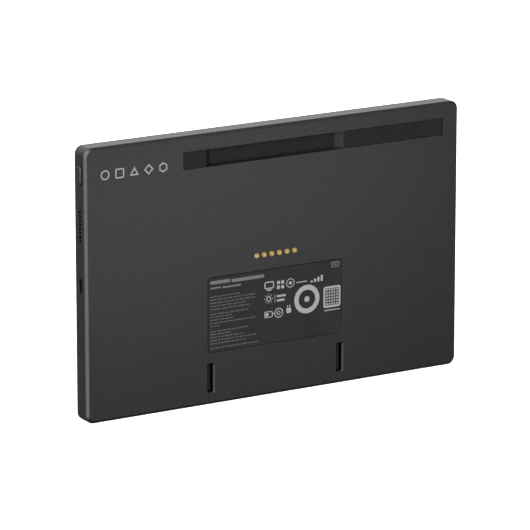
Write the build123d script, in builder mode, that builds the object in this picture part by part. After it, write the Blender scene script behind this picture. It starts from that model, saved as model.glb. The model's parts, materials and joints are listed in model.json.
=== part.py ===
from build123d import *
from math import atan2, degrees
import os

os.makedirs("parts", exist_ok=True)

# Home energy display panel: a slim wall-dock tablet in a dark metal tray with a glass front.
# Millimetres, +Z up. The screen faces -Y, the back faces +Y, and the socket side faces +X.
# The origin is the middle of the bottom edge face.

# ---------------------------------------------------------------- driving dimensions
width = 262.7
height = 168.9
thickness = 12.4
corner_radius = 5.2

bevel_in = 1.7
bevel_deep = 1.4
bevel_soften = 0.35
back_wall = 1.5
side_wall = 1.8
shell_depth = 10.4
fit_gap = 0.15
hair_gap = 0.05

# Depths are measured from the back face towards the screen.
plate_depth = 8.2
plate_thickness = 0.8
shelf_depth = plate_depth + plate_thickness
bond_depth = 11.1
glass_depth = 11.3
spigot_depth = 7.4
board_depth = 6.0
board_thickness = 0.8
board_front = board_depth + board_thickness

# Widths of the bands round the screen.
glass_lip = 1.2
spigot_wall = 1.4
frame_band = 8.0
edge_bevel = 0.3

# Long plastic window near the top of the back, with the wall hook's pocket in it.
strip_length = 184.8
strip_height = 10.9
strip_x = -28.0
strip_v = 69.25
strip_recess = 0.5
strip_corner = 1.2
strip_gap = 0.12
strip_flange = 1.0
strip_overlap = 2.0
strip_flange_corner = 2.0
pocket_half = 48.2
pocket_depth = 4.3
pocket_ramp = 4.1
pocket_wall = 1.1
pocket_tray_corner = 1.0

# Pair of upright hook slots low on the back.
slot_x = 45.8
slot_v = -67.85
slot_width = 5.0
slot_length = 18.8
slot_corner = 1.0
slot_bevel_in = 0.6
slot_bevel_deep = 0.9
slot_pad = 0.6
slot_pad_margin = 4.0
slot_pad_corner = 2.0
cup_room = 0.3
cup_wall = 1.1
cup_depth = 5.7
cup_floor = 0.8
cup_corner = 0.8
rib_width = 1.4
rib_end_gap = 1.3
rib_depth = 2.4
rib_corner = 0.3

# Six round charging contacts.
contact_count = 6
contact_pitch = 5.37
contact_v = 4.4
contact_radius = 1.7
contact_flange = 2.2
contact_stem = 0.6
contact_edge = 0.15
dimple_radius = 0.55
dimple_depth = 0.3
dimple_taper = 40
contact_seat = 2.0
contact_board_depth = 3.2
contact_board_back = 4.0
contact_screw_x = 22.5
contact_boss_radius = 2.0
contact_tap_radius = 0.6
contact_shank_radius = 0.58
contact_screw_clear = 0.7
contact_screw_head = 1.2

# Rating label.
label_width = 96.0
label_height = 47.4
label_v = -28.6
label_corner = 3.0
label_recess = 0.3
label_film = 0.15
label_gap = 0.2

# Side face: sleep button, speaker holes and socket share one line.
port_depth = thickness / 2
button_v = 67.5
button_length = 12.0
button_width = 4.8
button_proud = 1.0
button_bevel_in = 1.15
button_bevel_deep = 0.7
button_gap = 0.25
button_travel = 0.3
speaker_v = 36.4
speaker_holes = 8
speaker_pitch = 2.54
speaker_hole_wide = 3.0
speaker_hole_tall = 1.6
socket_length = 8.94
socket_height = 3.16
socket_gap = 0.1

# Screws.
screw_radius = 0.78
tapped_radius = 0.8
screw_clear = 0.95
screw_head = 1.4
screw_head_height = 0.5
screw_tip_room = 0.1

# ---------------------------------------------------------------- reference planes
back_y = thickness / 2
side_x = width / 2
mid_z = height / 2
port_y = back_y - port_depth


def behind(depth):
    """Plane parallel to the back face: local x is X, local y is up from mid height."""
    return Plane(origin=(0, back_y - depth, mid_z), x_dir=(1, 0, 0), z_dir=(0, -1, 0))


def beside(inset):
    """Plane parallel to the socket side: local x is Y, local y is up from mid height."""
    return Plane(origin=(side_x - inset, 0, mid_z), x_dir=(0, 1, 0), z_dir=(1, 0, 0))


def profile_across(v):
    """Plane that cuts the panel level: local x is X, local y is depth from the back."""
    return Plane(origin=(0, back_y, mid_z + v), x_dir=(1, 0, 0), z_dir=(0, 0, -1))


def profile_upright(x):
    """Plane that cuts the panel upright: local x is height from mid, local y is depth."""
    return Plane(origin=(x, back_y, mid_z), x_dir=(0, 0, 1), z_dir=(1, 0, 0))


def save(part, name):
    """Label a finished piece and write its file."""
    part.label = name
    export_step(part, f"parts/{name}.step")


slot_taper = degrees(atan2(slot_bevel_in, slot_bevel_deep))
throat_width = slot_width - 2 * slot_bevel_in
throat_length = slot_length - 2 * slot_bevel_in
inner_width = width - 2 * side_wall
inner_height = height - 2 * side_wall
inner_radius = corner_radius - side_wall
frame_width = inner_width - 2 * fit_gap
frame_height = inner_height - 2 * fit_gap
frame_radius = inner_radius - fit_gap
glass_width = width - 2 * glass_lip
glass_height = height - 2 * glass_lip
glass_radius = corner_radius - glass_lip
screen_width = width - 2 * frame_band
screen_height = height - 2 * frame_band
contact_line = [((i - (contact_count - 1) / 2) * contact_pitch, contact_v) for i in range(contact_count)]
contact_screw_spots = [(-contact_screw_x, contact_v), (contact_screw_x, contact_v)]
slot_spots = [(-slot_x, slot_v), (slot_x, slot_v)]

# Snap hooks: along the top and bottom, and up each side.
snap_length = 8.0
snap_proud = 0.45
snap_depth = 8.1
snap_thick = 0.5
snap_room = 0.1
snap_xs = [-100, -60, -10, 10, 60, 100]
snap_left_vs = [-60, -20, 20, 60]
snap_right_vs = [-60, -30]

# ---------------------------------------------------------------- back shell
with BuildPart() as back_shell:
    with BuildSketch(behind(0)):
        RectangleRounded(width, height, corner_radius)
    extrude(amount=shell_depth)
    rear_face = back_shell.faces().sort_by(Axis.Y)[-1]
    chamfer(rear_face.edges(), length=bevel_in, length2=bevel_deep, reference=rear_face)
    bevel_low = back_y - bevel_deep - hair_gap
    bevel_edges = back_shell.edges().filter_by_position(Axis.Y, bevel_low, back_y + hair_gap)
    fillet(bevel_edges.filter_by(Plane.XZ), radius=bevel_soften)
    with BuildSketch(behind(back_wall)):
        RectangleRounded(inner_width, inner_height, inner_radius)
    extrude(amount=shell_depth - back_wall, mode=Mode.SUBTRACT)
    # thicker pads round the hook slots, and bosses for the contact board
    with BuildSketch(behind(back_wall)):
        with Locations(*slot_spots):
            RectangleRounded(
                slot_width + 2 * slot_pad_margin, slot_length + 2 * slot_pad_margin, slot_pad_corner
            )
    extrude(amount=slot_pad)
    with BuildSketch(behind(back_wall)):
        with Locations(*contact_screw_spots):
            Circle(contact_boss_radius)
    extrude(amount=contact_board_depth - back_wall)
    # openings in the back
    with BuildSketch(behind(0)):
        with Locations((strip_x, strip_v)):
            RectangleRounded(strip_length, strip_height, strip_corner)
        with Locations(*contact_line):
            Circle(contact_radius + hair_gap)
    extrude(amount=back_wall, mode=Mode.SUBTRACT)
    # hook slots: a bevelled mouth above a straight opening
    with BuildSketch(behind(0)):
        with Locations(*slot_spots):
            RectangleRounded(slot_width, slot_length, slot_corner)
    extrude(amount=slot_bevel_deep, taper=slot_taper, mode=Mode.SUBTRACT)
    with BuildSketch(behind(0)):
        with Locations(*slot_spots):
            RectangleRounded(throat_width, throat_length, slot_corner - slot_bevel_in)
    extrude(amount=back_wall + slot_pad, mode=Mode.SUBTRACT)
    with BuildSketch(behind(0)):
        with Locations((0, label_v)):
            RectangleRounded(label_width, label_height, label_corner)
    extrude(amount=label_recess, mode=Mode.SUBTRACT)
    with BuildSketch(behind(back_wall)):
        with Locations(*contact_screw_spots):
            Circle(contact_tap_radius)
    extrude(amount=contact_board_depth - back_wall, mode=Mode.SUBTRACT)
    # openings in the socket side
    with BuildSketch(beside(0)):
        with Locations((port_y, 0)):
            SlotOverall(socket_length + 2 * socket_gap, socket_height + 2 * socket_gap, rotation=90)
        with Locations((port_y, button_v)):
            SlotOverall(button_length + 2 * button_gap, button_width + 2 * button_gap, rotation=90)
        with Locations((port_y, speaker_v)):
            with GridLocations(1, speaker_pitch, 1, speaker_holes):
                SlotOverall(speaker_hole_wide, speaker_hole_tall)
    extrude(amount=-side_wall, mode=Mode.SUBTRACT)
    # notches that the snap hooks catch in
    with BuildSketch(behind(snap_depth - snap_room)):
        with Locations(*[(x, side * inner_height / 2) for x in snap_xs for side in (-1, 1)]):
            Rectangle(snap_length + 4 * snap_room, 2 * snap_proud)
        with Locations(*[(-inner_width / 2, v) for v in snap_left_vs]):
            Rectangle(2 * snap_proud, snap_length + 4 * snap_room)
        with Locations(*[(inner_width / 2, v) for v in snap_right_vs]):
            Rectangle(2 * snap_proud, snap_length + 4 * snap_room)
    extrude(amount=snap_thick + 2 * snap_room, mode=Mode.SUBTRACT)
save(back_shell.part, "back_shell")

# ---------------------------------------------------------------- rear window and hook pocket
window_front = back_wall + strip_flange
pocket_height = strip_height - 2 * strip_gap
pocket_floor = (-pocket_half + pocket_ramp, pocket_half - pocket_ramp)
pocket_outline = [
    (-pocket_half, 0),
    (-pocket_half, strip_recess),
    (pocket_floor[0], pocket_depth),
    (pocket_floor[1], pocket_depth),
    (pocket_half, strip_recess),
    (pocket_half, 0),
]
with BuildPart() as antenna_window:
    with BuildSketch(behind(strip_recess)):
        with Locations((strip_x, strip_v)):
            RectangleRounded(strip_length - 2 * strip_gap, pocket_height, strip_corner - strip_gap)
    extrude(amount=back_wall - strip_recess)
    with BuildSketch(behind(back_wall)):
        with Locations((strip_x, strip_v)):
            RectangleRounded(
                strip_length + 2 * strip_overlap, strip_height + 2 * strip_overlap, strip_flange_corner
            )
    extrude(amount=strip_flange)
    with BuildSketch(profile_across(strip_v)):
        with BuildLine():
            Polyline(*pocket_outline, close=True)
        make_face()
    extrude(amount=pocket_height / 2, both=True, mode=Mode.SUBTRACT)
save(antenna_window.part, "antenna_window")

# The pocket has ramped ends and square upper and lower walls.
with BuildPart() as hook_pocket_tray:
    with BuildSketch(behind(window_front)):
        with Locations((0, strip_v)):
            RectangleRounded(
                2 * (pocket_half + pocket_wall), strip_height + 2 * pocket_wall, pocket_tray_corner
            )
    extrude(amount=pocket_depth + pocket_wall - window_front)
    with BuildSketch(profile_across(strip_v)):
        with BuildLine():
            Polyline(*pocket_outline, close=True)
        make_face()
    extrude(amount=pocket_height / 2, both=True, mode=Mode.SUBTRACT)
save(hook_pocket_tray.part, "hook_pocket_tray")

# Radio antennas bonded behind the window, beside the pocket.
antenna_length = 28.0
antenna_width = 8.0
antenna_thick = 0.6
antenna_corner = 1.0
antenna_front = window_front + antenna_thick
antenna_xs = {"antenna_main": -104.0, "antenna_second": -70.0}
for name, x in antenna_xs.items():
    with BuildPart() as antenna:
        with BuildSketch(behind(window_front)):
            with Locations((x, strip_v)):
                RectangleRounded(antenna_length, antenna_width, antenna_corner)
        extrude(amount=antenna_thick)
    save(antenna.part, name)

# ---------------------------------------------------------------- hook cups behind the slots
cup_top = back_wall + slot_pad
cup_inner_width = slot_width + 2 * cup_room
cup_inner_length = slot_length + 2 * cup_room
for name, x in {"hook_cup_right": slot_x, "hook_cup_left": -slot_x}.items():
    with BuildPart() as hook_cup:
        with BuildSketch(behind(cup_top)):
            with Locations((x, slot_v)):
                RectangleRounded(
                    cup_inner_width + 2 * cup_wall, cup_inner_length + 2 * cup_wall, cup_corner + cup_wall
                )
        extrude(amount=cup_depth + cup_floor - cup_top)
        with BuildSketch(behind(cup_top)):
            with Locations((x, slot_v)):
                RectangleRounded(cup_inner_width, cup_inner_length, cup_corner)
        extrude(amount=cup_depth - cup_top, mode=Mode.SUBTRACT)
        with BuildSketch(behind(rib_depth)):
            with Locations((x, slot_v)):
                RectangleRounded(rib_width, slot_length - 2 * rib_end_gap, rib_corner)
        extrude(amount=cup_depth - rib_depth)
    save(hook_cup.part, name)

# ---------------------------------------------------------------- charging contacts
with BuildPart() as contact_pads:
    with BuildSketch(behind(0)):
        with Locations(*contact_line):
            Circle(contact_radius)
    extrude(amount=back_wall)
    chamfer(contact_pads.faces().group_by(Axis.Y)[-1].edges(), length=contact_edge)
    with BuildSketch(behind(back_wall)):
        with Locations(*contact_line):
            Circle(contact_flange)
    extrude(amount=contact_seat - back_wall)
    with BuildSketch(behind(contact_seat)):
        with Locations(*contact_line):
            Circle(contact_stem)
    extrude(amount=contact_board_back - contact_seat)
    with BuildSketch(behind(0)):
        with Locations(*contact_line):
            Circle(dimple_radius)
    extrude(amount=dimple_depth, taper=dimple_taper, mode=Mode.SUBTRACT)
save(contact_pads.part, "contact_pads")

contact_block_width = 38.0
contact_block_height = 8.0
contact_block_corner = 2.0
with BuildPart() as contact_gasket:
    with BuildSketch(behind(back_wall)):
        with Locations((0, contact_v)):
            RectangleRounded(contact_block_width, contact_block_height, contact_block_corner)
        with Locations(*contact_line):
            Circle(contact_flange + hair_gap, mode=Mode.SUBTRACT)
    extrude(amount=contact_seat - back_wall)
save(contact_gasket.part, "contact_gasket")

with BuildPart() as contact_block:
    with BuildSketch(behind(contact_seat)):
        with Locations((0, contact_v)):
            RectangleRounded(contact_block_width, contact_block_height, contact_block_corner)
        with Locations(*contact_line):
            Circle(contact_stem + hair_gap, mode=Mode.SUBTRACT)
    extrude(amount=contact_board_depth - contact_seat)
save(contact_block.part, "contact_block")

contact_board_left = -26.0
contact_board_right = 30.0
contact_board_height = 9.0
contact_board_corner = 1.0
with BuildPart() as contact_board:
    with BuildSketch(behind(contact_board_depth)):
        with Locations(((contact_board_left + contact_board_right) / 2, contact_v)):
            RectangleRounded(
                contact_board_right - contact_board_left, contact_board_height, contact_board_corner
            )
        with Locations(*contact_line):
            Circle(contact_stem + hair_gap, mode=Mode.SUBTRACT)
        with Locations(*contact_screw_spots):
            Circle(contact_screw_clear, mode=Mode.SUBTRACT)
    extrude(amount=contact_board_back - contact_board_depth)
save(contact_board.part, "contact_board")

contact_screw_tip = back_wall + screw_tip_room
with BuildPart() as contact_screws:
    with BuildSketch(behind(contact_screw_tip)):
        with Locations(*contact_screw_spots):
            Circle(contact_shank_radius)
    extrude(amount=contact_board_back - contact_screw_tip)
    with BuildSketch(behind(contact_board_back)):
        with Locations(*contact_screw_spots):
            Circle(contact_screw_head)
    extrude(amount=screw_head_height)
save(contact_screws.part, "contact_screws")

# ---------------------------------------------------------------- rating label
with BuildPart() as rating_label:
    with BuildSketch(behind(label_recess - label_film)):
        with Locations((0, label_v)):
            RectangleRounded(
                label_width - 2 * label_gap, label_height - 2 * label_gap, label_corner - label_gap
            )
    extrude(amount=label_film)
save(rating_label.part, "rating_label")

# ---------------------------------------------------------------- front frame
groove_in = 0.5
groove_out = 1.3
groove_deep = 0.5
flex_notch_x = 72.0
flex_notch_width = 52.0
flex_notch_reach = 2.0
side_notch_low = -10.0
side_notch_high = 77.0
screen_corner = 1.0
plate_screw_room = 0.4
plate_screw_in = 1.6
plate_screw_x = screen_width / 2 + plate_screw_in
plate_screw_v = screen_height / 2 + plate_screw_in
plate_screw_spots = (
    [(plate_screw_x, v) for v in (-60, -25, 56.5)]
    + [(-plate_screw_x, v) for v in (-60, -20, 20, 60)]
    + [(x, plate_screw_v) for x in (-90, -30, 30, 90)]
    + [(x, -plate_screw_v) for x in (-90, -30, 30, 110)]
)
with BuildPart() as front_frame:
    with BuildSketch(behind(shell_depth)):
        RectangleRounded(width, height, corner_radius)
    extrude(amount=thickness - shell_depth)
    chamfer(front_frame.faces().sort_by(Axis.Y)[0].edges(), length=edge_bevel)
    with BuildSketch(behind(shelf_depth)):
        RectangleRounded(frame_width, frame_height, frame_radius)
    extrude(amount=shell_depth - shelf_depth)
    with BuildSketch(behind(bond_depth)):
        RectangleRounded(glass_width + 2 * fit_gap, glass_height + 2 * fit_gap, glass_radius + fit_gap)
    extrude(amount=thickness - bond_depth, mode=Mode.SUBTRACT)
    with BuildSketch(behind(shelf_depth)):
        RectangleRounded(screen_width, screen_height, screen_corner)
        with Locations((flex_notch_x, -screen_height / 2)):
            Rectangle(flex_notch_width, 2 * flex_notch_reach)
    extrude(amount=thickness - shelf_depth, mode=Mode.SUBTRACT)
    with BuildSketch(behind(shell_depth)):
        RectangleRounded(width - 2 * groove_in, height - 2 * groove_in, corner_radius - groove_in)
        RectangleRounded(
            width - 2 * groove_out, height - 2 * groove_out, corner_radius - groove_out, mode=Mode.SUBTRACT
        )
    extrude(amount=groove_deep, mode=Mode.SUBTRACT)
    # spigot that plugs into the shell, open beside the socket, speaker and button
    with BuildSketch(behind(spigot_depth)):
        RectangleRounded(frame_width, frame_height, frame_radius)
        RectangleRounded(
            frame_width - 2 * spigot_wall, frame_height - 2 * spigot_wall, frame_radius - spigot_wall,
            mode=Mode.SUBTRACT,
        )
        with Locations((side_x, (side_notch_low + side_notch_high) / 2)):
            Rectangle(2 * frame_band, side_notch_high - side_notch_low, mode=Mode.SUBTRACT)
    extrude(amount=shelf_depth - spigot_depth)
    with BuildSketch(behind(snap_depth)):
        with Locations(*[(x, side * frame_height / 2) for x in snap_xs for side in (-1, 1)]):
            Rectangle(snap_length, 2 * snap_proud)
        with Locations(*[(-frame_width / 2, v) for v in snap_left_vs]):
            Rectangle(2 * snap_proud, snap_length)
        with Locations(*[(frame_width / 2, v) for v in snap_right_vs]):
            Rectangle(2 * snap_proud, snap_length)
    extrude(amount=snap_thick)
    with BuildSketch(behind(shelf_depth)):
        with Locations(*plate_screw_spots):
            Circle(tapped_radius)
    extrude(amount=bond_depth - shelf_depth - plate_screw_room, mode=Mode.SUBTRACT)
save(front_frame.part, "front_frame")

with BuildPart() as shell_gasket:
    with BuildSketch(behind(shell_depth)):
        RectangleRounded(width - 2 * groove_in, height - 2 * groove_in, corner_radius - groove_in)
        RectangleRounded(
            width - 2 * groove_out, height - 2 * groove_out, corner_radius - groove_out, mode=Mode.SUBTRACT
        )
    extrude(amount=groove_deep)
save(shell_gasket.part, "shell_gasket")

# ---------------------------------------------------------------- screen stack
glass_edge = 0.35
adhesive_in = 2.0
adhesive_up = 3.0
adhesive_corner = 2.0
panel_margin = 1.0
with BuildPart() as cover_glass:
    with BuildSketch(behind(glass_depth)):
        RectangleRounded(glass_width, glass_height, glass_radius)
    extrude(amount=thickness - glass_depth)
    fillet(cover_glass.faces().sort_by(Axis.Y)[0].edges(), radius=glass_edge)
save(cover_glass.part, "cover_glass")

with BuildPart() as glass_adhesive:
    with BuildSketch(behind(bond_depth)):
        RectangleRounded(glass_width, glass_height, glass_radius)
        RectangleRounded(
            screen_width + 2 * adhesive_in, screen_height + 2 * adhesive_up, adhesive_corner,
            mode=Mode.SUBTRACT,
        )
    extrude(amount=glass_depth - bond_depth)
save(glass_adhesive.part, "glass_adhesive")

panel_width = screen_width - 2 * panel_margin
panel_height = screen_height - 2 * panel_margin
panel_thick = 1.0
panel_depth = bond_depth - panel_thick
tray_wall = 0.4
tray_floor = 0.3
guide_gap = 0.1
with BuildPart() as optical_bond:
    with BuildSketch(behind(bond_depth)):
        Rectangle(panel_width, panel_height)
    extrude(amount=glass_depth - bond_depth)
save(optical_bond.part, "optical_bond")

with BuildPart() as lcd_panel:
    with BuildSketch(behind(panel_depth)):
        Rectangle(panel_width, panel_height)
    extrude(amount=panel_thick)
save(lcd_panel.part, "lcd_panel")

with BuildPart() as light_guide:
    with BuildSketch(behind(shelf_depth + tray_floor)):
        Rectangle(
            panel_width - 2 * tray_wall - 2 * guide_gap, panel_height - 2 * tray_wall - 2 * guide_gap
        )
    extrude(amount=panel_depth - shelf_depth - tray_floor)
save(light_guide.part, "light_guide")

with BuildPart() as backlight_tray:
    with BuildSketch(behind(shelf_depth)):
        Rectangle(panel_width, panel_height)
    extrude(amount=panel_depth - shelf_depth)
    with BuildSketch(behind(shelf_depth + tray_floor)):
        Rectangle(panel_width - 2 * tray_wall, panel_height - 2 * tray_wall)
    extrude(amount=panel_depth - shelf_depth - tray_floor, mode=Mode.SUBTRACT)
save(backlight_tray.part, "backlight_tray")

# ---------------------------------------------------------------- mid plate and its screws
plate_margin = 0.4
plate_corner = 2.0
flex_notch_deep = 5.0
socket_notch = (10.0, 12.0)
button_notch = (6.5, 16.0)
plate_screw_tip = 0.6
plate_width = frame_width - 2 * spigot_wall - 2 * plate_margin
plate_height = frame_height - 2 * spigot_wall - 2 * plate_margin
bracket_screw_spot = (120.0, button_v)
with BuildPart() as mid_plate:
    with BuildSketch(behind(plate_depth)):
        RectangleRounded(plate_width, plate_height, plate_corner)
        with Locations((flex_notch_x, -plate_height / 2)):
            Rectangle(flex_notch_width, 2 * flex_notch_deep, mode=Mode.SUBTRACT)
        with Locations((side_x, 0)):
            Rectangle(2 * socket_notch[0], socket_notch[1], mode=Mode.SUBTRACT)
        with Locations((side_x, button_v)):
            Rectangle(2 * button_notch[0], button_notch[1], mode=Mode.SUBTRACT)
        with Locations(*plate_screw_spots):
            Circle(screw_clear, mode=Mode.SUBTRACT)
        with Locations(bracket_screw_spot):
            Circle(tapped_radius, mode=Mode.SUBTRACT)
    extrude(amount=plate_thickness)
save(mid_plate.part, "mid_plate")

with BuildPart() as plate_screws:
    with BuildSketch(behind(plate_depth)):
        with Locations(*plate_screw_spots):
            Circle(screw_radius)
    extrude(amount=bond_depth - plate_depth - plate_screw_tip)
    with BuildSketch(behind(plate_depth - screw_head_height)):
        with Locations(*plate_screw_spots):
            Circle(screw_head)
    extrude(amount=screw_head_height)
save(plate_screws.part, "plate_screws")

# ---------------------------------------------------------------- main board
board_low_x, board_high_x = 42.0, 102.0
board_low_v, board_high_v = -46.0, 50.0
board_x = (board_low_x + board_high_x) / 2
board_v = (board_low_v + board_high_v) / 2
board_hole_in = 3.0
board_corner = 2.0
board_screw_spots = [
    (board_low_x + board_hole_in, board_low_v + board_hole_in),
    (board_high_x - board_hole_in, board_low_v + board_hole_in),
    (board_low_x + board_hole_in, board_high_v - board_hole_in),
    (board_high_x - board_hole_in, board_high_v - board_hole_in),
]
usb_screw_spots = [(112, -9), (112, 9)]
fastener_spots = board_screw_spots + usb_screw_spots
with BuildPart() as main_board:
    with BuildSketch(behind(board_depth)):
        with Locations((board_x, board_v)):
            RectangleRounded(board_high_x - board_low_x, board_high_v - board_low_v, board_corner)
        with Locations(*board_screw_spots):
            Circle(screw_clear, mode=Mode.SUBTRACT)
    extrude(amount=board_thickness)
save(main_board.part, "main_board")

processor_x, processor_v = 81.0, 4.0
power_v = -28.0
wireless_x, wireless_v = 56.0, 36.0
# Each shield is a thin pressed can with its open side on the board.
can_wall = 0.25
can_height = 1.8
can_corner = 1.0
cans = {
    "processor_shield": (processor_x, processor_v, 28.0, 30.0),
    "power_shield": (processor_x, power_v, 24.0, 22.0),
    "wireless_shield": (wireless_x, wireless_v, 16.0, 14.0),
}
for name, (x, v, can_w, can_h) in cans.items():
    with BuildPart() as shield_can:
        with BuildSketch(behind(board_depth - can_height)):
            with Locations((x, v)):
                RectangleRounded(can_w, can_h, can_corner)
        extrude(amount=can_height)
        with BuildSketch(behind(board_depth - can_height + can_wall)):
            with Locations((x, v)):
                Rectangle(can_w - 2 * can_wall, can_h - 2 * can_wall)
        extrude(amount=can_height - can_wall, mode=Mode.SUBTRACT)
    save(shield_can.part, name)

processor_side = 14.0
processor_height = 1.1
processor_lift = 4.0
with BuildPart() as processor:
    with BuildSketch(behind(board_depth - processor_height)):
        with Locations((processor_x, processor_v + processor_lift)):
            Rectangle(processor_side, processor_side)
    extrude(amount=processor_height)
save(processor.part, "processor")

chip_height = 0.9
memory_drop = 9.5
chips = [
    (processor_x, processor_v - memory_drop, 11.0, 8.0),
    (processor_x, power_v, 7.0, 7.0),
    (wireless_x, wireless_v, 8.0, 7.0),
]
with BuildPart() as board_chips:
    with BuildSketch(behind(board_depth - chip_height)):
        for x, v, chip_w, chip_h in chips:
            with Locations((x, v)):
                Rectangle(chip_w, chip_h)
    extrude(amount=chip_height)
save(board_chips.part, "board_chips")

connector_height = 1.2
connector_size = (4.0, 9.0)
connector_corner = 0.4
connector_spots = [(57, contact_v), (99, -12), (47, 20)]
coil_radius = 2.4
coil_x = 57.0
coil_vs = [-12, -24, -36]
with BuildPart() as board_connectors:
    with BuildSketch(behind(board_depth - connector_height)):
        with Locations(*connector_spots):
            RectangleRounded(*connector_size, connector_corner)
        with Locations(*[(coil_x, v) for v in coil_vs]):
            Circle(coil_radius)
    extrude(amount=connector_height)
save(board_connectors.part, "board_connectors")

standoff_radius = 2.2
with BuildPart() as board_standoffs:
    with BuildSketch(behind(board_front)):
        with Locations(*fastener_spots):
            Circle(standoff_radius)
            Circle(tapped_radius, mode=Mode.SUBTRACT)
    extrude(amount=plate_depth - board_front)
save(board_standoffs.part, "board_standoffs")

with BuildPart() as board_screws:
    with BuildSketch(behind(board_depth)):
        with Locations(*fastener_spots):
            Circle(screw_radius)
    extrude(amount=plate_depth - board_depth - screw_tip_room)
    with BuildSketch(behind(board_depth - screw_head_height)):
        with Locations(*fastener_spots):
            Circle(screw_head)
    extrude(amount=screw_head_height)
save(board_screws.part, "board_screws")

pad_width = 26.0
pad_height = 28.0
pad_corner = 1.0
with BuildPart() as thermal_pad:
    with BuildSketch(behind(board_front)):
        with Locations((processor_x, processor_v)):
            RectangleRounded(pad_width, pad_height, pad_corner)
    extrude(amount=plate_depth - board_front)
save(thermal_pad.part, "thermal_pad")

# ---------------------------------------------------------------- battery
cell_depth = 4.6
cell_front = 8.0
cell_height = 102.0
cell_v = 1.0
cell_corner = 2.0
cell_round = 1.0
cells = {"battery_cell_left": (-77.0, 82.0), "battery_cell_right": (1.5, 69.0)}
for name, (x, cell_width) in cells.items():
    with BuildPart() as battery_cell:
        with BuildSketch(behind(cell_depth)):
            with Locations((x, cell_v)):
                RectangleRounded(cell_width, cell_height, cell_corner)
        extrude(amount=cell_front - cell_depth)
        fillet(battery_cell.faces().sort_by(Axis.Y)[-1].edges(), radius=cell_round)
    save(battery_cell.part, name)

tape_width = 12.0
tape_end = 6.0
with BuildPart() as cell_tapes:
    with BuildSketch(behind(cell_front)):
        for x, cell_width in cells.values():
            with Locations((x - cell_width / 4, cell_v), (x + cell_width / 4, cell_v)):
                Rectangle(tape_width, cell_height - 2 * tape_end)
    extrude(amount=plate_depth - cell_front)
save(cell_tapes.part, "cell_tapes")

battery_board_x, battery_board_v = -18.0, 55.2
battery_board_size = (96.0, 5.0)
battery_board_corner = 0.8
with BuildPart() as battery_board:
    with BuildSketch(behind(board_depth)):
        with Locations((battery_board_x, battery_board_v)):
            RectangleRounded(*battery_board_size, battery_board_corner)
    extrude(amount=board_thickness)
save(battery_board.part, "battery_board")

# Flat bundle of wires from the protection board down onto the main board.
bundle_thick = 0.8
bundle_width = 4.0
bundle_start_x = 22.0
bundle_turn_x = 52.5
bundle_end_v = 44.5
bundle_top_v = 57.5
with BuildPart() as battery_lead:
    with BuildSketch(behind(board_depth - bundle_thick)):
        with BuildLine():
            Polyline(
                (bundle_start_x, bundle_top_v - bundle_width),
                (bundle_turn_x - bundle_width, bundle_top_v - bundle_width),
                (bundle_turn_x - bundle_width, bundle_end_v),
                (bundle_turn_x, bundle_end_v),
                (bundle_turn_x, bundle_top_v),
                (bundle_start_x, bundle_top_v),
                close=True,
            )
        make_face()
    extrude(amount=bundle_thick)
save(battery_lead.part, "battery_lead")

# ---------------------------------------------------------------- flat cables
ribbon = 0.2
contact_flex_start = 25.5
contact_flex_drop = (38.0, 40.5)
contact_flex_end = 53.5
contact_flex_width = 6.0
board_face = board_depth - ribbon
flex_back = contact_board_back + ribbon
with BuildPart() as contact_flex:
    with BuildSketch(profile_across(contact_v)):
        with BuildLine():
            Polyline(
                (contact_flex_start, contact_board_back),
                (contact_flex_drop[0], contact_board_back),
                (contact_flex_drop[1], board_face),
                (contact_flex_end, board_face),
                (contact_flex_end, board_depth),
                (contact_flex_drop[1] - hair_gap, board_depth),
                (contact_flex_drop[0] - hair_gap, flex_back),
                (contact_flex_start, flex_back),
                close=True,
            )
        make_face()
    extrude(amount=contact_flex_width / 2, both=True)
save(contact_flex.part, "contact_flex")

flex_turn_out = 1.0
flex_turn_v = -screen_height / 2 - flex_turn_out
flex_end_v = -36.0
display_flex_rise = 0.4
flexes = {
    "display_flex": (60.0, 24.0, panel_depth + display_flex_rise, -panel_height / 2),
    "touch_flex": (86.0, 12.0, glass_depth - ribbon, -panel_height / 2),
}
for name, (x, flex_width, start_depth, start_v) in flexes.items():
    with BuildPart() as screen_flex:
        with BuildSketch(profile_upright(x)):
            with BuildLine():
                Polyline(
                    (start_v, start_depth),
                    (flex_turn_v, start_depth),
                    (flex_turn_v, board_front),
                    (flex_end_v, board_front),
                    (flex_end_v, board_front + ribbon),
                    (flex_turn_v + ribbon, board_front + ribbon),
                    (flex_turn_v + ribbon, start_depth - ribbon),
                    (start_v, start_depth - ribbon),
                    close=True,
                )
            make_face()
        extrude(amount=flex_width / 2, both=True)
    save(screen_flex.part, name)

# ---------------------------------------------------------------- aerial leads
lead_radius = 0.55
lead_depth = 3.6
lead_bend = 3.0
plug_radius = 1.1
plug_in = 1.5
lead_start_v = strip_v - antenna_width / 2 + plug_in
lead_end_v = 40.0
leads = {
    "antenna_lead_main": (antenna_xs["antenna_main"], 58.2, 53.0),
    "antenna_lead_second": (antenna_xs["antenna_second"], 60.6, 58.0),
}
for name, (x, run_v, end_x) in leads.items():
    with BuildPart() as antenna_lead:
        with BuildLine(behind(lead_depth)):
            FilletPolyline(
                (x, lead_start_v - plug_radius),
                (x, run_v),
                (end_x, run_v),
                (end_x, lead_end_v + plug_radius),
                radius=lead_bend,
            )
        lead_plane = Plane(
            origin=(x, back_y - lead_depth, mid_z + lead_start_v - plug_radius), z_dir=(0, 0, -1)
        )
        with BuildSketch(lead_plane):
            Circle(lead_radius)
        sweep()
    save(antenna_lead.part, name)

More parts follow.
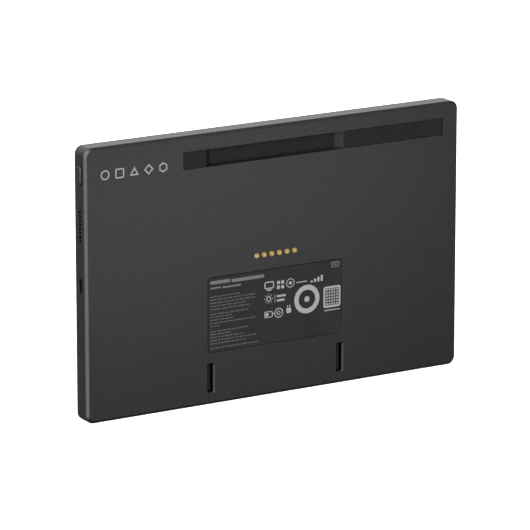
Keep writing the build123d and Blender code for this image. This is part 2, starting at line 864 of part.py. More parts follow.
with BuildPart() as lead_plugs:
    with BuildSketch(behind(antenna_front)):
        with Locations(*[(x, lead_start_v) for x in antenna_xs.values()]):
            Circle(plug_radius)
    extrude(amount=lead_depth + lead_radius - antenna_front)
    with BuildSketch(behind(lead_depth - lead_radius)):
        with Locations(*[(end_x, lead_end_v) for x, run_v, end_x in leads.values()]):
            Circle(plug_radius)
    extrude(amount=board_depth - can_height - lead_depth + lead_radius)
save(lead_plugs.part, "lead_plugs")

# ---------------------------------------------------------------- speaker
speaker_width = 22.0
speaker_height = 33.0
speaker_top = 3.0
speaker_front = 8.1
speaker_wall = 0.9
speaker_corner = 1.5
port_length = speaker_pitch * speaker_holes
port_width = 3.6
port_margin = 0.4
port_corner = 0.5
grille_plate = 0.3
grille_wall = 0.3
grille_inset = 0.1
mesh_thick = 0.2
gasket_thick = 1.2
# The grille is a black moulding whose short tubes line the holes in the side.
with BuildPart() as speaker_grille:
    with BuildSketch(beside(side_wall)):
        with Locations((port_y, speaker_v)):
            RectangleRounded(port_width, port_length + 2 * port_margin, port_corner)
    extrude(amount=-grille_plate)
    with BuildSketch(beside(grille_inset)):
        with Locations((port_y, speaker_v)):
            with GridLocations(1, speaker_pitch, 1, speaker_holes):
                SlotOverall(speaker_hole_wide - 2 * hair_gap, speaker_hole_tall - 2 * hair_gap)
    extrude(amount=grille_inset - side_wall)
    with BuildSketch(beside(grille_inset)):
        with Locations((port_y, speaker_v)):
            with GridLocations(1, speaker_pitch, 1, speaker_holes):
                SlotOverall(speaker_hole_wide - 2 * grille_wall, speaker_hole_tall - 2 * grille_wall)
    extrude(amount=grille_inset - side_wall - grille_plate, mode=Mode.SUBTRACT)
save(speaker_grille.part, "speaker_grille")

mesh_inset = side_wall + grille_plate
with BuildPart() as speaker_mesh:
    with BuildSketch(beside(mesh_inset)):
        with Locations((port_y, speaker_v)):
            RectangleRounded(port_width, port_length + 2 * port_margin, port_corner)
    extrude(amount=-mesh_thick)
save(speaker_mesh.part, "speaker_mesh")

with BuildPart() as speaker_gasket:
    with BuildSketch(beside(mesh_inset + mesh_thick)):
        with Locations((port_y, speaker_v)):
            RectangleRounded(port_width, port_length + 2 * port_margin, port_corner)
            Rectangle(port_width - 2 * port_margin, port_length, mode=Mode.SUBTRACT)
    extrude(amount=-gasket_thick)
save(speaker_gasket.part, "speaker_gasket")

box_inset = mesh_inset + mesh_thick + gasket_thick
speaker_x = side_x - box_inset - speaker_width / 2
box_mouth = 1.8
driver_width = 15.0
driver_height = 25.0
driver_corner = 3.0
driver_gap = 0.1
magnet_width = 11.0
magnet_height = 17.0
magnet_corner = 2.0
magnet_thick = 2.2
with BuildPart() as speaker_box:
    with BuildSketch(behind(speaker_top)):
        with Locations((speaker_x, speaker_v)):
            RectangleRounded(speaker_width, speaker_height, speaker_corner)
    extrude(amount=speaker_front - speaker_top)
    with BuildSketch(behind(speaker_top + speaker_wall)):
        with Locations((speaker_x, speaker_v)):
            Rectangle(speaker_width - 2 * speaker_wall, speaker_height - 2 * speaker_wall)
    extrude(amount=speaker_front - speaker_top - 2 * speaker_wall, mode=Mode.SUBTRACT)
    with BuildSketch(behind(speaker_top)):
        with Locations((speaker_x, speaker_v)):
            RectangleRounded(driver_width, driver_height, driver_corner)
    extrude(amount=speaker_wall, mode=Mode.SUBTRACT)
    with BuildSketch(beside(box_inset)):
        with Locations((port_y, speaker_v)):
            Rectangle(box_mouth, port_length)
    extrude(amount=-speaker_wall, mode=Mode.SUBTRACT)
save(speaker_box.part, "speaker_box")

with BuildPart() as speaker_driver:
    with BuildSketch(behind(speaker_top)):
        with Locations((speaker_x, speaker_v)):
            RectangleRounded(
                driver_width - 2 * driver_gap, driver_height - 2 * driver_gap, driver_corner - driver_gap
            )
    extrude(amount=speaker_wall)
    with BuildSketch(behind(speaker_top + speaker_wall)):
        with Locations((speaker_x, speaker_v)):
            RectangleRounded(magnet_width, magnet_height, magnet_corner)
    extrude(amount=magnet_thick)
save(speaker_driver.part, "speaker_driver")

# ---------------------------------------------------------------- socket
socket_inset = 0.6
socket_deep = 7.6
socket_metal = 0.3
socket_end = socket_inset + socket_deep
with BuildPart() as usb_shell:
    with BuildSketch(beside(socket_inset)):
        with Locations((port_y, 0)):
            SlotOverall(socket_length, socket_height, rotation=90)
    extrude(amount=-socket_deep)
    with BuildSketch(beside(socket_inset)):
        with Locations((port_y, 0)):
            SlotOverall(socket_length - 2 * socket_metal, socket_height - 2 * socket_metal, rotation=90)
    extrude(amount=socket_metal - socket_deep, mode=Mode.SUBTRACT)
save(usb_shell.part, "usb_shell")

tongue_base = (7.6, 1.9)
tongue_base_thick = 1.2
tongue_size = (0.7, 6.7)
tongue_corner = 0.2
tongue_length = 4.4
with BuildPart() as usb_tongue:
    with BuildSketch(beside(socket_end - socket_metal)):
        with Locations((port_y, 0)):
            SlotOverall(*tongue_base, rotation=90)
    extrude(amount=tongue_base_thick)
    with BuildSketch(beside(socket_end - socket_metal - tongue_base_thick)):
        with Locations((port_y, 0)):
            RectangleRounded(*tongue_size, tongue_corner)
    extrude(amount=tongue_length)
save(usb_tongue.part, "usb_tongue")

socket_seal = (10.6, 3.9)
socket_seal_thick = 1.2
with BuildPart() as usb_gasket:
    with BuildSketch(beside(side_wall)):
        with Locations((port_y, 0)):
            SlotOverall(*socket_seal, rotation=90)
            SlotOverall(
                socket_length + 2 * hair_gap, socket_height + 2 * hair_gap, rotation=90, mode=Mode.SUBTRACT
            )
    extrude(amount=-socket_seal_thick)
save(usb_gasket.part, "usb_gasket")

usb_board_low = 108.0
usb_board_high = side_x - 4.0
usb_board_height = 25.0
usb_board_corner = 1.0
with BuildPart() as usb_board:
    with BuildSketch(behind(board_depth)):
        with Locations(((usb_board_low + usb_board_high) / 2, 0)):
            RectangleRounded(usb_board_high - usb_board_low, usb_board_height, usb_board_corner)
        with Locations((side_x, 0)):
            Rectangle(2 * (socket_end + socket_gap), socket_length + 2 * socket_gap, mode=Mode.SUBTRACT)
        with Locations(*usb_screw_spots):
            Circle(screw_clear, mode=Mode.SUBTRACT)
    extrude(amount=board_thickness)
save(usb_board.part, "usb_board")

usb_flex_low, usb_flex_high = 99.0, 116.0
usb_flex_width = 5.0
with BuildPart() as usb_flex:
    with BuildSketch(behind(board_face)):
        with Locations(((usb_flex_low + usb_flex_high) / 2, 0)):
            Rectangle(usb_flex_high - usb_flex_low, usb_flex_width)
    extrude(amount=ribbon)
save(usb_flex.part, "usb_flex")

# ---------------------------------------------------------------- sleep button
button_rest_gap = 0.1
button_back = side_wall + button_rest_gap
root_thick = 0.7
root_width = 4.6
root_overlap = 1.2
nub_radius = 0.9
nub_reach = 1.3
plunger_inset = button_back + root_thick + nub_reach
with BuildPart() as power_button:
    with BuildSketch(beside(-button_proud)):
        with Locations((port_y, button_v)):
            SlotOverall(button_length, button_width, rotation=90)
    extrude(amount=-(button_proud + button_back))
    press_face = power_button.faces().sort_by(Axis.X)[-1]
    chamfer(press_face.edges(), length=button_bevel_in, length2=button_bevel_deep, reference=press_face)
    with BuildSketch(beside(button_back)):
        with Locations((port_y, button_v)):
            Rectangle(root_width, button_length + 2 * root_overlap)
    extrude(amount=-root_thick)
    with BuildSketch(beside(button_back + root_thick)):
        with Locations((port_y, button_v)):
            Circle(nub_radius)
    extrude(amount=-nub_reach)
save(power_button.part, "power_button")

plunger_radius = 0.7
plunger_out = 0.5
plunger_in = 0.4
plunger_room = 0.1
switch_size = (3.0, 4.0)
switch_corner = 0.3
switch_thick = 1.4
switch_face = plunger_inset + plunger_out
with BuildPart() as switch_plunger:
    with BuildSketch(beside(plunger_inset)):
        with Locations((port_y, button_v)):
            Circle(plunger_radius)
    extrude(amount=-(plunger_out + plunger_in))
save(switch_plunger.part, "switch_plunger")

with BuildPart() as switch_body:
    with BuildSketch(beside(switch_face)):
        with Locations((port_y, button_v)):
            RectangleRounded(*switch_size, switch_corner)
    extrude(amount=-switch_thick)
    with BuildSketch(beside(switch_face)):
        with Locations((port_y, button_v)):
            Circle(plunger_radius + hair_gap)
    extrude(amount=-(plunger_in + button_travel + plunger_room), mode=Mode.SUBTRACT)
save(switch_body.part, "switch_body")

switch_back = switch_face + switch_thick
switch_flex_size = (2.6, 12.0)
switch_flex_drop = 2.0
with BuildPart() as switch_flex:
    with BuildSketch(beside(switch_back)):
        with Locations((port_y, button_v - switch_flex_drop)):
            Rectangle(*switch_flex_size)
    extrude(amount=-ribbon)
save(switch_flex.part, "switch_flex")

bracket_face = switch_back + ribbon
bracket_thick = 0.6
bracket_top = 3.9
bracket_height = 14.0
bracket_foot = 0.4
bracket_reach = 8.0
with BuildPart() as button_bracket:
    with BuildSketch(beside(bracket_face)):
        with Locations((back_y - (plate_depth + bracket_top) / 2, button_v)):
            Rectangle(plate_depth - bracket_top, bracket_height)
    extrude(amount=-bracket_thick)
    with BuildSketch(behind(plate_depth - bracket_foot)):
        with Locations((side_x - bracket_face - bracket_reach / 2, button_v)):
            Rectangle(bracket_reach, bracket_height)
        with Locations(bracket_screw_spot):
            Circle(screw_clear, mode=Mode.SUBTRACT)
    extrude(amount=bracket_foot)
save(button_bracket.part, "button_bracket")

with BuildPart() as bracket_screw:
    with BuildSketch(behind(plate_depth - bracket_foot)):
        with Locations(bracket_screw_spot):
            Circle(screw_radius)
    extrude(amount=bracket_foot + plate_thickness - screw_tip_room)
    with BuildSketch(behind(plate_depth - bracket_foot - screw_head_height)):
        with Locations(bracket_screw_spot):
            Circle(screw_head)
    extrude(amount=screw_head_height)
save(bracket_screw.part, "bracket_screw")
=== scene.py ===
import json
import math
import random

import bmesh
import bpy
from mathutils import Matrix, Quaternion, Vector


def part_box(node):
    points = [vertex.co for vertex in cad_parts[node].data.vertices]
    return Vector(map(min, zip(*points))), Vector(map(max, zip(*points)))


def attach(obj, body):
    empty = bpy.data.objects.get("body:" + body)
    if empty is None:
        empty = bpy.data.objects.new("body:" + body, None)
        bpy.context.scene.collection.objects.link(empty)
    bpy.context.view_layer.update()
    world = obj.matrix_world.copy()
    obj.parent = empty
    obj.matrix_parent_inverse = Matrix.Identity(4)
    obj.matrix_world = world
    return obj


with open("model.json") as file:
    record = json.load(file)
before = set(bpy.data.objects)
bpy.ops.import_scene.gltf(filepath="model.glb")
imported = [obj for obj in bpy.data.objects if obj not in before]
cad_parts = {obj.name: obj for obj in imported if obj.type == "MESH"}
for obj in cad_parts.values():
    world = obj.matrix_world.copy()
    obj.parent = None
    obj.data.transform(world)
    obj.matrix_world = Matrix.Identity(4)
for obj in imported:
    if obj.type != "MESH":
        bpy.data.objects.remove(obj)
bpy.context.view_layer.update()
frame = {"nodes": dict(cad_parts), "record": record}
nodes = frame["nodes"]

MM = 0.001


# ---------------------------------------------------------------- places on the object
def side_of(node, axis, high):
    """Coordinate of one side of a CAD node's box."""
    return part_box(node)[1 if high else 0][axis]


BACK_Y = side_of("back_shell", 1, True)
SHELL_LOW = side_of("back_shell", 2, False)
SHELL_HIGH = side_of("back_shell", 2, True)
MID_Z = (SHELL_LOW + SHELL_HIGH) / 2
LABEL_Y = side_of("rating_label", 1, True)
SCREEN_LOW, SCREEN_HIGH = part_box("lcd_panel")


# ---------------------------------------------------------------- camera
# The camera stands behind the panel, to the socket side, and looks slightly down. Its places are in
# metres, its lens and sensor in mm.
CAMERA_TURN = math.radians(30.804)
CAMERA_LIFT = math.radians(14.605)
CAMERA_DISTANCE = 2.636
CAMERA_SHIFT_RIGHT = -0.00662
CAMERA_SHIFT_UP = -0.0030
CAMERA_LENS = 294.9
CAMERA_SENSOR = 36
CAMERA_CLIP = (0.05, 50)


def add_camera():
    back_dir = Vector((
        math.sin(CAMERA_TURN) * math.cos(CAMERA_LIFT),
        math.cos(CAMERA_TURN) * math.cos(CAMERA_LIFT),
        math.sin(CAMERA_LIFT),
    ))
    right = (-back_dir).cross(Vector((0, 0, 1))).normalized()
    up = right.cross(-back_dir).normalized()
    data = bpy.data.cameras.new("camera")
    data.lens = CAMERA_LENS
    data.sensor_width = CAMERA_SENSOR
    data.clip_start, data.clip_end = CAMERA_CLIP
    camera = bpy.data.objects.new("camera", data)
    bpy.context.scene.collection.objects.link(camera)
    target = Vector((0, BACK_Y, MID_Z)) + right * CAMERA_SHIFT_RIGHT + up * CAMERA_SHIFT_UP
    camera.location = target + back_dir * CAMERA_DISTANCE
    camera.rotation_euler = (-back_dir).to_track_quat("-Z", "Y").to_euler()
    bpy.context.scene.camera = camera


# ---------------------------------------------------------------- studio
# Soft lights in the surround: (name, direction, cosine of the angle at which it ends, strength).
SOFT_LIGHTS = [
    ("key", (0.66, 0.62, 0.43), 0.33, 5.7),
    ("far_wall", (-0.15, -0.88, 0.45), 0.55, 2.0),
    ("front_floor", (-0.10, 0.90, -0.38), 0.30, 0.17),
    ("left_floor", (0.60, -0.75, -0.28), 0.40, 0.19),
    ("right_wall", (-0.80, 0.10, 0.58), 0.55, 0.45),
    ("right_low", (-0.92, 0.08, -0.48), 0.80, 0.42),
]
STUDIO_GREY = 0.0595
BACKDROP_WHITE = 1.0


def add_studio():
    """A grey surround with soft lights in it, which the camera sees as plain white."""
    world = bpy.data.worlds.new("studio")
    world.use_nodes = True
    bpy.context.scene.world = world
    tree = world.node_tree
    tree.nodes.clear()
    direction = tree.nodes.new("ShaderNodeTexCoord").outputs["Generated"]
    total = None
    for name, toward, edge, strength in SOFT_LIGHTS:
        dot = tree.nodes.new("ShaderNodeVectorMath")
        dot.operation = "DOT_PRODUCT"
        dot.label = name
        dot.inputs[1].default_value = Vector(toward).normalized()
        tree.links.new(direction, dot.inputs[0])
        lobe = tree.nodes.new("ShaderNodeMapRange")
        lobe.interpolation_type = "SMOOTHSTEP"
        lobe.inputs["From Min"].default_value = edge
        lobe.inputs["From Max"].default_value = 1.0
        lobe.inputs["To Max"].default_value = strength
        tree.links.new(dot.outputs["Value"], lobe.inputs["Value"])
        add = tree.nodes.new("ShaderNodeMath")
        tree.links.new(lobe.outputs["Result"], add.inputs[0])
        if total is None:
            add.inputs[1].default_value = STUDIO_GREY
        else:
            tree.links.new(total, add.inputs[1])
        total = add.outputs["Value"]
    studio = tree.nodes.new("ShaderNodeBackground")
    tree.links.new(total, studio.inputs["Strength"])
    backdrop = tree.nodes.new("ShaderNodeBackground")
    backdrop.inputs["Color"].default_value = (1, 1, 1, 1)
    backdrop.inputs["Strength"].default_value = BACKDROP_WHITE
    mix = tree.nodes.new("ShaderNodeMixShader")
    rays = tree.nodes.new("ShaderNodeLightPath")
    tree.links.new(rays.outputs["Is Camera Ray"], mix.inputs["Fac"])
    tree.links.new(studio.outputs["Background"], mix.inputs[1])
    tree.links.new(backdrop.outputs["Background"], mix.inputs[2])
    output = tree.nodes.new("ShaderNodeOutputWorld")
    tree.links.new(mix.outputs["Shader"], output.inputs["Surface"])
    bpy.context.scene.view_settings.view_transform = "Standard"


# A softbox close to the back brightens the upper part of it. Its end away from the socket side is
# tilted up. Its place and size are in metres, its power in watts.
BOX_CENTRE = (-0.135, 0.36, 0.055)
BOX_SIZE = (0.40, 0.16)
BOX_TILT = math.radians(9)
BOX_POWER = 0.265


def add_softbox():
    data = bpy.data.lights.new("softbox", "AREA")
    data.shape = "RECTANGLE"
    data.size, data.size_y = BOX_SIZE
    data.energy = BOX_POWER
    light = bpy.data.objects.new("softbox", data)
    bpy.context.scene.collection.objects.link(light)
    light.location = BOX_CENTRE
    aim = Vector((0, -1, 0)).to_track_quat("-Z", "Y")
    light.rotation_euler = (Quaternion((0, 1, 0), BOX_TILT) @ aim).to_euler()
    light.visible_camera = False


FLOOR_RADIUS = 4.0
FLOOR_CORNERS = 96
FLOOR_GLOW = 0.6


def add_floor(material):
    """A white floor that the camera sees, but that neither lights the object nor shadows it."""
    bpy.ops.mesh.primitive_circle_add(
        vertices=FLOOR_CORNERS, radius=FLOOR_RADIUS, fill_type="NGON", location=(0, 0, 0)
    )
    floor = bpy.context.object
    floor.name = "studio_floor"
    floor.data.materials.append(material)
    floor.visible_diffuse = False
    floor.visible_glossy = False
    floor.visible_shadow = False


# ---------------------------------------------------------------- materials
# Sizes, radii and distances in the materials are in metres.
BEVEL_SAMPLES = 6
WEAR_AND_SHEEN_PATCH = 0.004
DETAIL_OF_VARIATION = 4.0


class Finish:
    """A procedural material: a Principled shader fed by noise in the object's own coordinates."""

    def __init__(self, name, colour, roughness, metallic=0.0, specular=0.5):
        self.material = bpy.data.materials.new(name)
        self.material.use_nodes = True
        self.tree = self.material.node_tree
        self.shader = self.tree.nodes["Principled BSDF"]
        self.shader.inputs["Base Color"].default_value = (*colour, 1)
        self.shader.inputs["Roughness"].default_value = roughness
        self.shader.inputs["Metallic"].default_value = metallic
        self.shader.inputs["Specular IOR Level"].default_value = specular
        self.colour = colour
        self.base = None
        self.roughness = roughness
        self.coords = self.tree.nodes.new("ShaderNodeTexCoord").outputs["Object"]
        self.normal = None

    def link(self, source, target):
        self.tree.links.new(source, target)

    def math(self, operation, a, b=0, clamp=False):
        node = self.tree.nodes.new("ShaderNodeMath")
        node.operation = operation
        node.use_clamp = clamp
        for socket, value in zip(node.inputs, (a, b)):
            if isinstance(value, (int, float)):
                socket.default_value = value
            else:
                self.link(value, socket)
        return node.outputs["Value"]

    def stretch(self, scale):
        node = self.tree.nodes.new("ShaderNodeMapping")
        node.inputs["Scale"].default_value = scale
        self.link(self.coords, node.inputs["Vector"])
        return node.outputs["Vector"]

    def noise(self, size, detail=2.0, scale=(1, 1, 1)):
        """Noise value 0 to 1 whose blobs are about size metres across."""
        node = self.tree.nodes.new("ShaderNodeTexNoise")
        node.inputs["Scale"].default_value = 1 / size
        node.inputs["Detail"].default_value = detail
        self.link(self.stretch(scale) if scale != (1, 1, 1) else self.coords, node.inputs["Vector"])
        return node.outputs["Fac"]

    def spread(self, value, low, high):
        """Maps the middle of a noise value to a range."""
        node = self.tree.nodes.new("ShaderNodeMapRange")
        node.inputs["From Min"].default_value = 0.3
        node.inputs["From Max"].default_value = 0.7
        node.inputs["To Min"].default_value = low
        node.inputs["To Max"].default_value = high
        self.link(value, node.inputs["Value"])
        return node.outputs["Result"]

    def blend(self, factor, a, b):
        """Colour that runs from a to b, each a colour or a socket, as the factor runs from 0 to 1."""
        mix = self.tree.nodes.new("ShaderNodeMix")
        mix.data_type = "RGBA"
        self.link(factor, mix.inputs["Factor"])
        for socket, colour in ((mix.inputs["A"], a), (mix.inputs["B"], b)):
            if isinstance(colour, tuple):
                socket.default_value = (*colour, 1)
            else:
                self.link(colour, socket)
        return mix.outputs["Result"]

    def paint(self, colour):
        """Makes a colour socket the base colour."""
        self.base = colour
        self.link(colour, self.shader.inputs["Base Color"])

    def vary(self, size, amount, rough_amount=0.0, scale=(1, 1, 1)):
        """Colour and roughness that wander a little over the surface."""
        value = self.noise(size, DETAIL_OF_VARIATION, scale)
        dark = tuple(c * (1 - amount) for c in self.colour)
        light = tuple(min(1.0, c * (1 + amount)) for c in self.colour)
        self.paint(self.blend(self.spread(value, 0.0, 1.0), dark, light))
        if rough_amount:
            rough = self.spread(value, self.roughness - rough_amount, self.roughness + rough_amount)
            self.link(rough, self.shader.inputs["Roughness"])

    def soften(self, radius):
        """Rounds the shading of hard edges."""
        node = self.tree.nodes.new("ShaderNodeBevel")
        node.samples = BEVEL_SAMPLES
        node.inputs["Radius"].default_value = radius
        self.normal = node.outputs["Normal"]

    def bump(self, height, strength, distance):
        """Relief from a height value."""
        node = self.tree.nodes.new("ShaderNodeBump")
        node.inputs["Strength"].default_value = strength
        node.inputs["Distance"].default_value = distance
        self.link(height, node.inputs["Height"])
        if self.normal is not None:
            self.link(self.normal, node.inputs["Normal"])
        self.normal = node.outputs["Normal"]

    def grain(self, size, strength, distance=0.0001, detail=2.0, scale=(1, 1, 1)):
        """Fine relief whose bumps are about size metres across."""
        self.bump(self.noise(size, detail, scale), strength, distance)

    def edge_wear_and_sheen(self, radius, colour, amount):
        """Slightly brighter metal or plastic along edges: partly rubbed wear and partly a painted
        highlight on the edges.
        """
        edge = self.tree.nodes.new("ShaderNodeBevel")
        edge.samples = BEVEL_SAMPLES
        edge.inputs["Radius"].default_value = radius
        flat = self.tree.nodes.new("ShaderNodeNewGeometry").outputs["Normal"]
        dot = self.tree.nodes.new("ShaderNodeVectorMath")
        dot.operation = "DOT_PRODUCT"
        self.link(edge.outputs["Normal"], dot.inputs[0])
        self.link(flat, dot.inputs[1])
        turned = self.math("SUBTRACT", 1.0, dot.outputs["Value"], clamp=True)
        patches = self.spread(self.noise(WEAR_AND_SHEEN_PATCH, detail=3.0), low=0.4, high=1.6)
        patchy = self.math("MULTIPLY", turned, patches)
        factor = self.math("MULTIPLY", patchy, amount, clamp=True)
        self.paint(self.blend(factor, self.base, colour))

    def split(self):
        """The X, Y and Z of the object's own coordinates."""
        node = self.tree.nodes.new("ShaderNodeSeparateXYZ")
        self.link(self.coords, node.inputs["Vector"])
        return node.outputs

    def wave(self, axis, scale):
        """Stripes along one axis, as a value from 0 to 1."""
        node = self.tree.nodes.new("ShaderNodeTexWave")
        node.bands_direction = axis
        node.inputs["Scale"].default_value = scale
        self.link(self.coords, node.inputs["Vector"])
        return node.outputs["Fac"]

    def done(self):
        if self.normal is not None:
            self.link(self.normal, self.shader.inputs["Normal"])
        return self.material


SHELL_GREY = (0.056, 0.0565, 0.057)
# How much lighter the edges are painted: partly wear, partly painted highlight.
EDGE_WEAR_AND_SHEEN = 1.7


def anodised(name, colour, lightening=1.0):
    """Blasted and anodised metal: fine grain, a little lighter along its edges, partly rubbed wear
    and partly a painted edge highlight.
    """
    finish = Finish(name, colour, roughness=0.42, metallic=1.0)
    finish.vary(size=0.0012, amount=0.11, rough_amount=0.02)
    finish.edge_wear_and_sheen(radius=0.00035, colour=tuple(c * EDGE_WEAR_AND_SHEEN for c in colour), amount=lightening)
    finish.soften(radius=0.0002)
    finish.grain(size=0.0011, strength=0.6, detail=3.0)
    return finish.done()


def moulded(name, colour, roughness=0.55, grain=0.0005, strength=0.2, specular=0.5):
    """Moulded plastic or rubber with a fine texture."""
    finish = Finish(name, colour, roughness, specular=specular)
    finish.vary(size=0.012, amount=0.10, rough_amount=0.05)
    finish.soften(radius=0.00012)
    finish.grain(grain, strength, distance=0.00008)
    return finish.done()


# The top of the rib in a hook cup, and how far the grey reaches down from it. The grey is a painted
# highlight where light falls on the rib's top, and the near-black without reflection is painted shade
# inside the cup.
RIB_TOP = BACK_Y - 2.45 * MM
RIB_RISE = 0.04 * MM
RIB_TOP_PAINTED_LIGHT = (0.012, 0.012, 0.012)
CUP_PAINTED_SHADE = (0.0012, 0.0012, 0.0012)


def dead_black(name):
    """Black moulding made blacker and without reflection, painted shade that keeps the hook cups
    dark; the ribs close behind the slots get a grey top, a painted highlight where light falls on
    them.
    """
    finish = Finish(name, CUP_PAINTED_SHADE, roughness=0.9, specular=0.0)
    finish.vary(size=0.004, amount=0.25, rough_amount=0.05)
    above = finish.math("SUBTRACT", finish.split()["Y"], RIB_TOP)
    step = finish.math("DIVIDE", above, RIB_RISE, clamp=True)
    patches = finish.spread(finish.noise(0.002, detail=3.0), low=0.8, high=1.2)
    lightening = finish.math("MULTIPLY", step, patches)
    # Painted highlight: grey on the rib's top, over the painted shade of the cup.
    finish.paint(finish.blend(lightening, finish.base, RIB_TOP_PAINTED_LIGHT))
    finish.grain(size=0.0005, strength=0.2, distance=0.00008)
    return finish.done()


def sheet_metal(name, colour, roughness=0.32):
    """Rolled sheet whose grain runs along X."""
    finish = Finish(name, colour, roughness, metallic=1.0)
    finish.vary(size=0.0015, amount=0.06, rough_amount=0.06, scale=(0.06, 1, 1))
    finish.grain(size=0.0004, strength=0.12, distance=0.00005, scale=(0.05, 1, 1))
    return finish.done()


def gold_contact(name):
    finish = Finish(name, (0.51, 0.361, 0.122), roughness=0.36, metallic=1.0)
    finish.vary(size=0.0012, amount=0.10, rough_amount=0.06)
    finish.grain(size=0.0003, strength=0.15, distance=0.00003)
    return finish.done()


SCREEN_MARGIN = 0.0035
BORDER_BLACK = (0.004, 0.004, 0.0045)
SCREEN_DARK = (0.011, 0.012, 0.015)
SCREEN_LIGHT = (0.013, 0.014, 0.018)


def black_glass(name):
    """Glossy glass whose printed border is a little blacker than the display behind it."""
    finish = Finish(name, (0.006, 0.006, 0.007), roughness=0.045)
    place = finish.split()
    inside = None
    for axis, low, high in ((0, SCREEN_LOW.x, SCREEN_HIGH.x), (2, SCREEN_LOW.z, SCREEN_HIGH.z)):
        half = (high - low) / 2 - SCREEN_MARGIN
        middle = (high + low) / 2
        offset = finish.math("ABSOLUTE", finish.math("SUBTRACT", place[axis], middle))
        within = finish.math("LESS_THAN", offset, half)
        inside = within if inside is None else finish.math("MULTIPLY", inside, within)
    smudge = finish.spread(finish.noise(0.05, detail=5.0), low=0.03, high=0.075)
    finish.link(smudge, finish.shader.inputs["Roughness"])
    clouds = finish.spread(finish.noise(0.02, detail=3.0), low=0, high=1)
    shade = finish.blend(clouds, SCREEN_DARK, SCREEN_LIGHT)
    finish.paint(finish.blend(inside, BORDER_BLACK, shade))
    finish.grain(size=0.03, strength=0.02)
    return finish.done()


def clear_sheet(name, colour, roughness):
    finish = Finish(name, colour, roughness)
    finish.vary(size=0.02, amount=0.05, rough_amount=0.03)
    finish.grain(size=0.002, strength=0.05, distance=0.00005)
    finish.shader.inputs["Transmission Weight"].default_value = 0.6
    return finish.done()


TRACK_CELLS = 420
TRACKS_IN_CELL = 5.0
TRACK_EDGE = 0.72


def circuit_board(name):
    """Green solder mask with the raised lines of buried tracks."""
    finish = Finish(name, (0.012, 0.11, 0.05), roughness=0.38)
    cells = finish.tree.nodes.new("ShaderNodeTexVoronoi")
    cells.distance = "CHEBYCHEV"
    cells.feature = "F1"
    cells.inputs["Scale"].default_value = TRACK_CELLS
    finish.link(finish.coords, cells.inputs["Vector"])
    lines = finish.math("FRACT", finish.math("MULTIPLY", cells.outputs["Distance"], TRACKS_IN_CELL))
    track = finish.math("GREATER_THAN", lines, TRACK_EDGE)
    finish.paint(finish.blend(track, (0.010, 0.085, 0.040), (0.018, 0.15, 0.068)))
    finish.bump(lines, strength=0.15, distance=0.00005)
    finish.grain(size=0.0006, strength=0.08, distance=0.00003)
    return finish.done()


def woven_mesh(name):
    finish = Finish(name, (0.010, 0.010, 0.010), roughness=0.7)
    across, upright = finish.wave("Y", 700), finish.wave("Z", 700)
    weave = finish.math("MAXIMUM", across, upright)
    finish.paint(finish.blend(weave, (0.002, 0.002, 0.002), (0.02, 0.02, 0.02)))
    finish.bump(weave, strength=0.8, distance=0.0001)
    return finish.done()


def pouch_film(name):
    """Crinkled metal foil of a battery pouch."""
    finish = Finish(name, (0.5, 0.51, 0.52), roughness=0.34, metallic=1.0)
    finish.vary(size=0.02, amount=0.08, rough_amount=0.06)
    finish.grain(size=0.012, strength=0.35, distance=0.0006, detail=5.0)
    return finish.done()


def flat_cable(name):
    """Amber film with fine copper tracks."""
    finish = Finish(name, (0.42, 0.20, 0.04), roughness=0.3)
    tracks = finish.wave("X", 320)
    finish.paint(finish.blend(tracks, (0.30, 0.13, 0.02), (0.50, 0.25, 0.05)))
    finish.bump(tracks, strength=0.2, distance=0.00003)
    finish.grain(size=0.001, strength=0.06, distance=0.00003)
    return finish.done()


def printed_ink(name, colour, specular=0.4):
    finish = Finish(name, colour, roughness=0.5, specular=specular)
    finish.vary(size=0.0012, amount=0.10, rough_amount=0.05)
    finish.grain(size=0.0003, strength=0.12, distance=0.00002)
    return finish.done()


def floor_finish(name):
    finish = Finish(name, (0.93, 0.93, 0.93), roughness=0.7, specular=0.2)
    finish.shader.inputs["Emission Color"].default_value = (1, 1, 1, 1)
    finish.shader.inputs["Emission Strength"].default_value = FLOOR_GLOW
    finish.vary(size=0.5, amount=0.01, rough_amount=0.05)
    finish.grain(size=0.004, strength=0.02, distance=0.0002)
    return finish.done()


